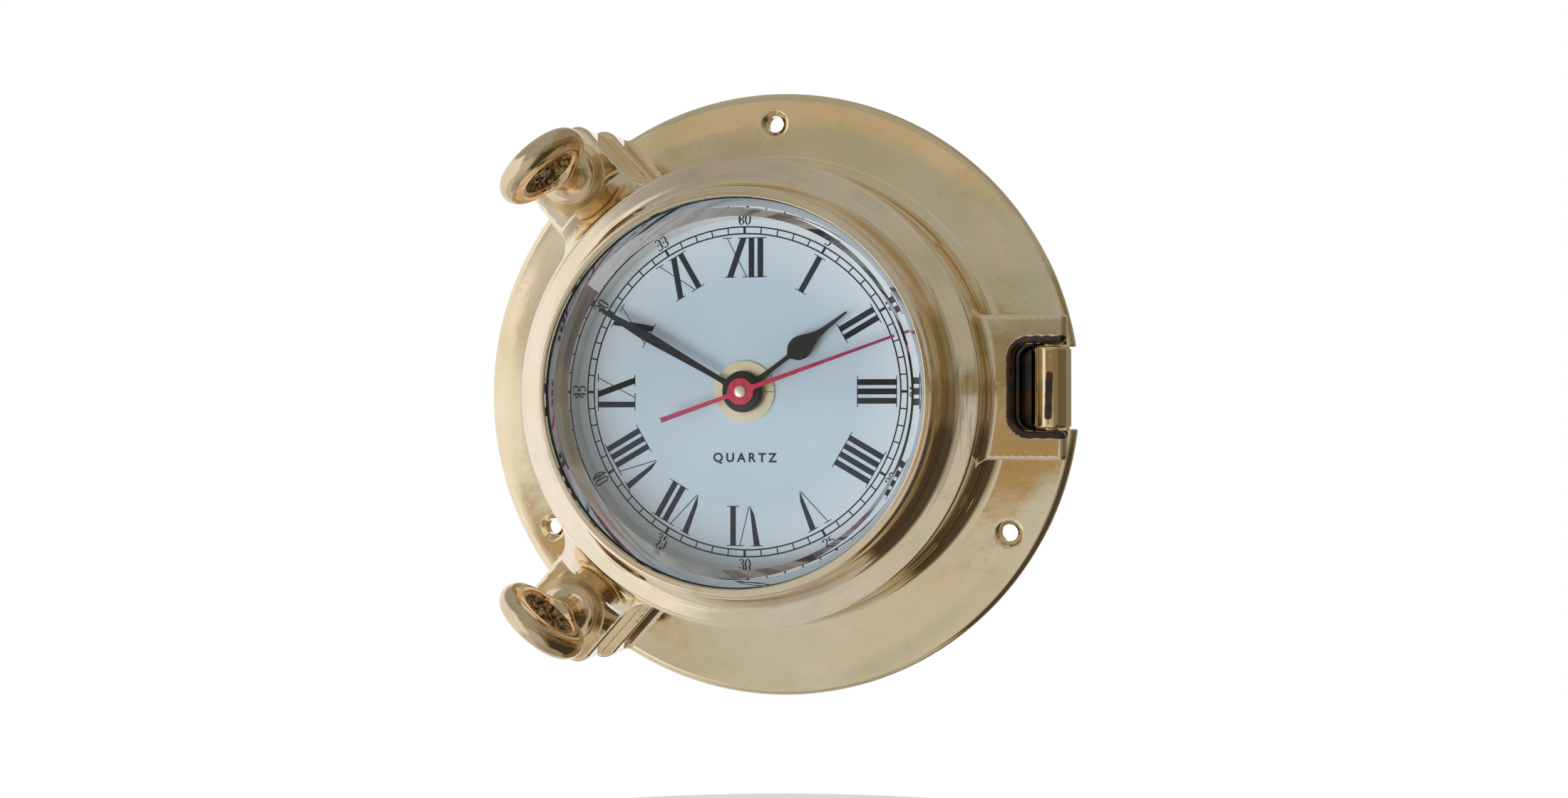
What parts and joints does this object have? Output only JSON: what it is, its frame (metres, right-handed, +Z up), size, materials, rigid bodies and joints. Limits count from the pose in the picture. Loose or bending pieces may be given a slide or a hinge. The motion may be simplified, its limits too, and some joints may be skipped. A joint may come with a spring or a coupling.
{
  "type": "porthole clock",
  "caption": "Round brass wall flange with a hinged glazed door that carries an analogue quartz clock and shuts with two thumb screws.",
  "frame": {"origin": "centre of the flange's wall face, on the clock's centre line", "axes": "+Z is up, the clock faces -Y, the wall is on the +Y side, and the hinge is on the +X side"},
  "size_m": [0.1495, 0.0537, 0.15],
  "materials": {
    "polished_brass": "polished",
    "knob_brass": "cast and buffed",
    "pin_brass": "turned",
    "pale_brass": "satin",
    "black_rubber": "matt",
    "clear_glass": "polished, bevelled",
    "polished_reflector": "polished",
    "enamelled_dial": "satin enamel with printed numerals",
    "zinc_steel": "zinc plated",
    "black_plastic": "moulded",
    "battery_sleeve": "printed sleeve",
    "plated_contact": "nickel plated",
    "green_board": "solder mask",
    "black_resin": "potting resin",
    "natural_plastic": "moulded",
    "copper_wire": "enamelled copper",
    "stator_iron": "bare sheet",
    "rotor_magnet": "sintered magnet",
    "dark_hand": "satin black-blue",
    "red_hand": "gloss crimson"
  },
  "bodies": {
    "base": {"mounting_flange": "polished_brass", "seat_gasket": "black_rubber", "hinge_pin": "pin_brass"},
    "door": {"door_bezel": "polished_brass", "glass_gasket": "black_rubber", "bevelled_glass": "clear_glass", "reflector_ring": "polished_reflector", "dial_plate": "enamelled_dial", "retaining_ring": "zinc_steel", "retaining_screws": "zinc_steel", "movement_front_case": "black_plastic", "movement_back_case": "black_plastic", "battery_cell": "battery_sleeve", "battery_spring": "plated_contact", "battery_contact": "plated_contact", "circuit_board": "green_board", "quartz_crystal": "plated_contact", "drive_chip": "black_resin", "coil_bobbin": "natural_plastic", "coil_winding": "copper_wire", "stator_core": "stator_iron", "dial_cushion": "black_rubber", "dial_washer": "pale_brass", "dial_nut": "pale_brass"},
    "rotor": {"rotor": "rotor_magnet"},
    "fifth": {"fifth_wheel": "natural_plastic"},
    "seconds": {"seconds_wheel": "natural_plastic", "seconds_hand": "red_hand"},
    "third": {"third_wheel": "natural_plastic"},
    "minute": {"minute_wheel": "natural_plastic", "minute_hand": "dark_hand"},
    "motion": {"motion_wheel": "natural_plastic"},
    "hour": {"hour_wheel": "natural_plastic", "hour_hand": "dark_hand"},
    "set_knob": {"set_knob": "natural_plastic"},
    "upper_carrier": {"upper_washer": "pin_brass"},
    "upper_screw": {"upper_knob": "knob_brass", "upper_stud": "pin_brass", "upper_clip": "zinc_steel"},
    "lower_carrier": {"lower_washer": "pin_brass"},
    "lower_screw": {"lower_knob": "knob_brass", "lower_stud": "pin_brass", "lower_clip": "zinc_steel"}
  },
  "joints": [
    {"name": "door_swing", "type": "hinge", "parent": "base", "child": "door", "pos_m": [0.0692, -0.017, 0.0014], "axis": [0, 0, 1], "range_deg": [0, 120]},
    {"name": "seconds_turn", "type": "hinge", "parent": "door", "child": "seconds", "pos_m": [0, -0.0233, 0.00035], "axis": [0, 1, 0], "continuous": true},
    {"name": "minute_turn", "type": "hinge", "parent": "door", "child": "minute", "pos_m": [0, -0.0265, 0.00035], "axis": [0, 1, 0], "continuous": true},
    {"name": "hour_turn", "type": "hinge", "parent": "door", "child": "hour", "pos_m": [0, -0.0295, 0.00035], "axis": [0, 1, 0], "continuous": true},
    {"name": "rotor_turn", "type": "hinge", "parent": "door", "child": "rotor", "pos_m": [-0.0138, -0.02, -0.01026], "axis": [0, 1, 0], "continuous": true},
    {"name": "fifth_turn", "type": "hinge", "parent": "door", "child": "fifth", "pos_m": [-0.00675, -0.022, -0.00769], "axis": [0, 1, 0], "continuous": true},
    {"name": "third_turn", "type": "hinge", "parent": "door", "child": "third", "pos_m": [-0.0092, -0.025, 0.00566], "axis": [0, 1, 0], "continuous": true},
    {"name": "motion_turn", "type": "hinge", "parent": "door", "child": "motion", "pos_m": [0.00217, -0.028, 0.00846], "axis": [0, 1, 0], "continuous": true},
    {"name": "set_knob_turn", "type": "hinge", "parent": "door", "child": "set_knob", "pos_m": [0.00637, -0.02, 0.01574], "axis": [0, 1, 0], "continuous": true},
    {"name": "upper_screw_travel", "type": "slide", "parent": "door", "child": "upper_carrier", "axis": [0, -1, 0], "range_m": [0, 0.004]},
    {"name": "upper_screw_turn", "type": "hinge", "parent": "upper_carrier", "child": "upper_screw", "pos_m": [-0.04738, -0.03, 0.05355], "axis": [0, -1, 0], "range_deg": [0, 1800]},
    {"name": "lower_screw_travel", "type": "slide", "parent": "door", "child": "lower_carrier", "axis": [0, -1, 0], "range_m": [0, 0.004]},
    {"name": "lower_screw_turn", "type": "hinge", "parent": "lower_carrier", "child": "lower_screw", "pos_m": [-0.04738, -0.03, -0.05355], "axis": [0, -1, 0], "range_deg": [0, 1800]}
  ],
  "couplings": [
    {"joint": "minute_turn", "follows": "seconds_turn", "ratio": 0.016667},
    {"joint": "hour_turn", "follows": "seconds_turn", "ratio": 0.0013889},
    {"joint": "rotor_turn", "follows": "seconds_turn", "ratio": 30},
    {"joint": "fifth_turn", "follows": "seconds_turn", "ratio": -6},
    {"joint": "third_turn", "follows": "seconds_turn", "ratio": -0.13333},
    {"joint": "motion_turn", "follows": "seconds_turn", "ratio": -0.0055556},
    {"joint": "set_knob_turn", "follows": "seconds_turn", "ratio": 0.016667},
    {"joint": "upper_screw_turn", "follows": "upper_screw_travel", "rad_per_m": 7854},
    {"joint": "lower_screw_turn", "follows": "lower_screw_travel", "rad_per_m": 7854}
  ]
}
